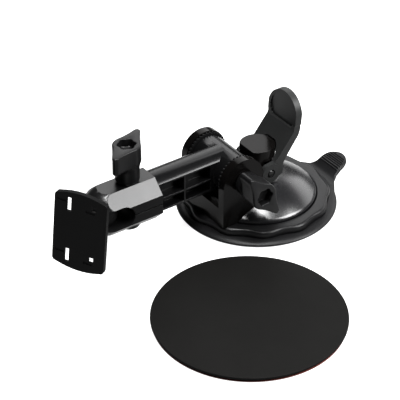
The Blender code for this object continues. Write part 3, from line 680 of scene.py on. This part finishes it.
def build():
    """Make every piece and hang it on its body."""
    side = shift(0, PIVOT[1], PIVOT[2]) @ turn(90, "Y")
    clamp_base = PIVOT[2] + 12.2 + 1.4
    made = [
        suction_pad(), grip_ring(), pull_tab(), dome(), lever_pin(), ball_piece(), neck(),
        friction_ring("friction_ring_near", 12.92, 14.08),
        friction_ring("friction_ring_far", -14.08, -12.92),
        wing_knob("clamp_wing_knob", "clamp_knob", PIVOT[2] + 33.3 - clamp_base,
                  shift(0, BOLT_Y, clamp_base) @ turn(CLAMP_KNOB_TURN, "Z"), "clamp_turn"),
        wing_knob("pivot_wing_knob", "pivot_knob", 36.5 - 20.0,
                  shift(20.0, PIVOT[1], PIVOT[2]) @ turn(PIVOT_KNOB_TURN, "X")
                  @ turn(90, "Y") @ turn(90, "Z"), "pivot_turn"),
        washer("clamp_plain_washer", "clamp_washer",
               shift(0, BOLT_Y, PIVOT[2] + 12.5), "upper_clamp"),
        washer("pivot_plain_washer", "pivot_washer",
               shift(18.9, PIVOT[1], PIVOT[2]) @ turn(90, "Y"), "base"),
        bolt("clamp_threaded_bolt", "clamp_bolt", 38.7,
             shift(0, BOLT_Y, PIVOT[2] - 11.2), "clamp_turn"),
        bolt("pivot_threaded_bolt", "pivot_bolt", 48.5,
             shift(-18.0, 0, 0) @ side, "pivot_turn"),
        hex_nut("clamp_hex_nut", "clamp_nut", 3.1, shift(0, BOLT_Y, PIVOT[2] - 12.1),
                "arm_body"),
        hex_nut("pivot_hex_nut", "pivot_nut", 2.8, shift(-18.3, 0, 0) @ side, "base"),
        disc_layer("dashboard_disc", "dash_disc", 1.5, 2.7, 47.5, "disc", "disc_body",
                   0.45),
        disc_layer("disc_foam", "adhesive_pad", 0.7, 1.2, 46.5, "foam", "adhesive", 0.1),
        disc_layer("disc_liner", "release_liner", 0.0, 0.4, 46.9, "liner", "liner", 0.1),
        (eased("fork_bracket", "fork_moulding", LOOK["shell"], 0.5), "base", "satin_body"),
        (eased("stem_tower", "tower_moulding", LOOK["shell"], 0.5), "base", "satin_body"),
        (eased("lock_lever", "lever_moulding", LOOK["lever"], 0.4), "lever", "lever_body"),
        (eased("arm", "arm_moulding", LOOK["frame"], 0.3), "arm_body", "satin_body"),
        (eased("lower_jaw", "lower_jaw_moulding", LOOK["clamp"], 0.5), "arm_body",
         "clamp_body"),
        (eased("upper_jaw", "upper_jaw_moulding", LOOK["clamp"], 0.5), "upper_clamp",
         "clamp_body"),
        (eased("plate_hub", "hub_moulding", LOOK["inner"], 0.4), "bracket", "matte_body"),
        (eased("bracket_plate", "slotted_plate", LOOK["plate"], 0.15, 2,
               merge_flats=False), "bracket",
         "plate_body"),
        (eased("lift_stem", "stem_moulding", LOOK["inner"], 0.3), "stem", "satin_body"),
    ]
    for piece, body, slot in made:
        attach(piece, body)
    keep = {"return_spring": "steel", "fork_screw_far": "steel", "fork_screw_near": "steel",
            "plate_screw_a": "steel", "plate_screw_b": "steel", "pressure_plate": "inner"}
    for node, look in keep.items():
        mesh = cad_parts[node].data
        mesh.materials.clear()
        mesh.materials.append(LOOK[look])
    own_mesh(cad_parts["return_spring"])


# ------------------------------------------------------- floor, light, view


def floor():
    """A wide pale sheet; a share of its white is its own light, so shadows stay faint."""
    b = Board("pale_floor")
    tone = b.noise(180.0, 2.0)
    b.set(Base_Color=b.between(tone, (0.16, 0.16, 0.16), (0.2, 0.2, 0.2)), Roughness=0.9,
          Specular_IOR_Level=0.0, Emission_Color=(1.0, 1.0, 1.0), Emission_Strength=0.93)
    mesh = bpy.data.meshes.new("floor")
    corners = [(x * FLOOR_HALF, y * FLOOR_HALF, FLOOR_Z)
               for x, y in ((-1, -1), (1, -1), (1, 1), (-1, 1))]
    mesh.from_pydata(corners, [], [(0, 1, 2, 3)])
    mesh.materials.append(b.material)
    obj = bpy.data.objects.new("floor", mesh)
    bpy.context.scene.collection.objects.link(obj)


def softbox(name, way, distance, size, power, shape):
    """An area light in a direction from the mount, facing it."""
    way = Vector(way).normalized()
    lamp = bpy.data.lights.new(name, "AREA")
    lamp.shape = shape
    lamp.size, lamp.size_y = size
    lamp.energy = power
    obj = bpy.data.objects.new(name, lamp)
    target = Vector(LIGHT_AIM)
    obj.location = target + way * distance
    obj.rotation_euler = way.to_track_quat("Z", "Y").to_euler()
    bpy.context.scene.collection.objects.link(obj)


def lights():
    """Soft studio light: overhead, back right, back left, back and a weak front fill."""
    for box in SOFTBOXES:
        softbox(*box)
    world = bpy.data.worlds.new("studio")
    world.use_nodes = True
    background = world.node_tree.nodes["Background"].inputs
    background["Color"].default_value = (1, 1, 1, 1)
    background["Strength"].default_value = WORLD_LIGHT
    bpy.context.scene.world = world
    bpy.context.scene.view_settings.view_transform = "Standard"
    bpy.context.scene.view_settings.gamma = VIEW_GAMMA


def camera():
    """The view from above the mount's right front."""
    data = bpy.data.cameras.new("view")
    data.sensor_width = 36.0
    data.lens = VIEW_LENS
    data.clip_end = 20.0
    obj = bpy.data.objects.new("view", data)
    obj.location = VIEW_AT
    az, el = math.radians(VIEW_AZIMUTH), math.radians(VIEW_ELEVATION)
    look = Vector((-math.sin(az) * math.cos(el), math.cos(az) * math.cos(el), -math.sin(el)))
    obj.rotation_euler = look.to_track_quat("-Z", "Y").to_euler()
    bpy.context.scene.collection.objects.link(obj)
    bpy.context.scene.camera = obj


build()
floor()
lights()
camera()
